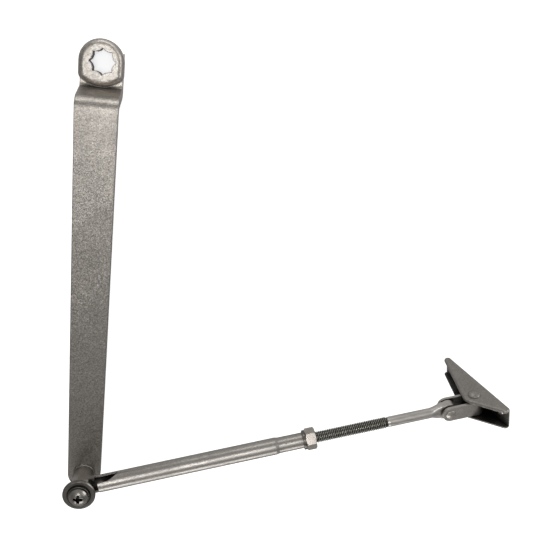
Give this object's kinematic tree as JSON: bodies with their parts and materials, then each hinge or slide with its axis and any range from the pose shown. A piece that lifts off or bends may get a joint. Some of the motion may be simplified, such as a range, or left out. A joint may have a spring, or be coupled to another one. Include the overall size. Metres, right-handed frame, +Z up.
{
  "type": "door closer arm",
  "caption": "Two-part door closer arm: joggled flat main arm with a star socket eye, elbow pivot, threaded adjustable forearm, knuckle and riveted frame shoe.",
  "frame": {"origin": "on the axis of the main arm's spindle socket, at the underside of the eye", "axes": "+Z up the spindle axis from the eye towards the raised blade and elbow screw; -Y from the spindle to the elbow; +X to the side the forearm reaches out to at rest"},
  "size_m": [0.2981, 0.2997, 0.07],
  "materials": {
    "arm_paint": "satin",
    "zinc_steel": "satin",
    "dark_steel": "satin",
    "nut_steel": "satin",
    "shoe_steel": "satin",
    "bush_plastic": "matte"
  },
  "bodies": {
    "arm": {"main_arm": "arm_paint", "elbow_stud": "zinc_steel", "elbow_thrust_washer": "zinc_steel", "elbow_collar": "dark_steel", "elbow_lock_washer": "dark_steel", "elbow_screw": "zinc_steel"},
    "forearm": {"forearm_tube": "arm_paint", "elbow_bush_lower": "bush_plastic", "elbow_bush_upper": "bush_plastic", "nut_lock_washer": "dark_steel"},
    "nut": {"jam_nut": "nut_steel"},
    "rod": {"adjusting_rod": "zinc_steel"},
    "knuckle": {"knuckle_strap": "shoe_steel", "knuckle_rivet": "zinc_steel", "knuckle_washer_upper": "zinc_steel", "knuckle_washer_lower": "zinc_steel", "shoe_rivet_sleeve": "zinc_steel"},
    "shoe": {"shoe_bracket": "shoe_steel", "shoe_rivet": "zinc_steel", "shoe_washer_near": "zinc_steel", "shoe_washer_far": "zinc_steel"}
  },
  "joints": [
    {"name": "elbow_hinge", "type": "hinge", "parent": "arm", "child": "forearm", "pos_m": [0, -0.275, 0.0468], "axis": [0, 0, 1], "range_deg": [-110, 60]},
    {"name": "jam_nut_turn", "type": "hinge", "parent": "forearm", "child": "nut", "pos_m": [0.14871, -0.23365, 0.0468], "axis": [0.9634, 0.2679, 0], "continuous": true},
    {"name": "length_adjust", "type": "slide", "parent": "forearm", "child": "rod", "axis": [0.9634, 0.2679, 0], "range_m": [-0.025, 0.015]},
    {"name": "knuckle_swivel", "type": "hinge", "parent": "rod", "child": "knuckle", "pos_m": [0.24626, -0.20652, 0.0468], "axis": [0.0557, -0.2003, 0.9781], "range_deg": [-60, 60]},
    {"name": "shoe_tilt", "type": "hinge", "parent": "knuckle", "child": "shoe", "pos_m": [0.26456, -0.20143, 0.0468], "axis": [-0.2621, 0.9424, 0.2079], "range_deg": [-90, 52]}
  ]
}
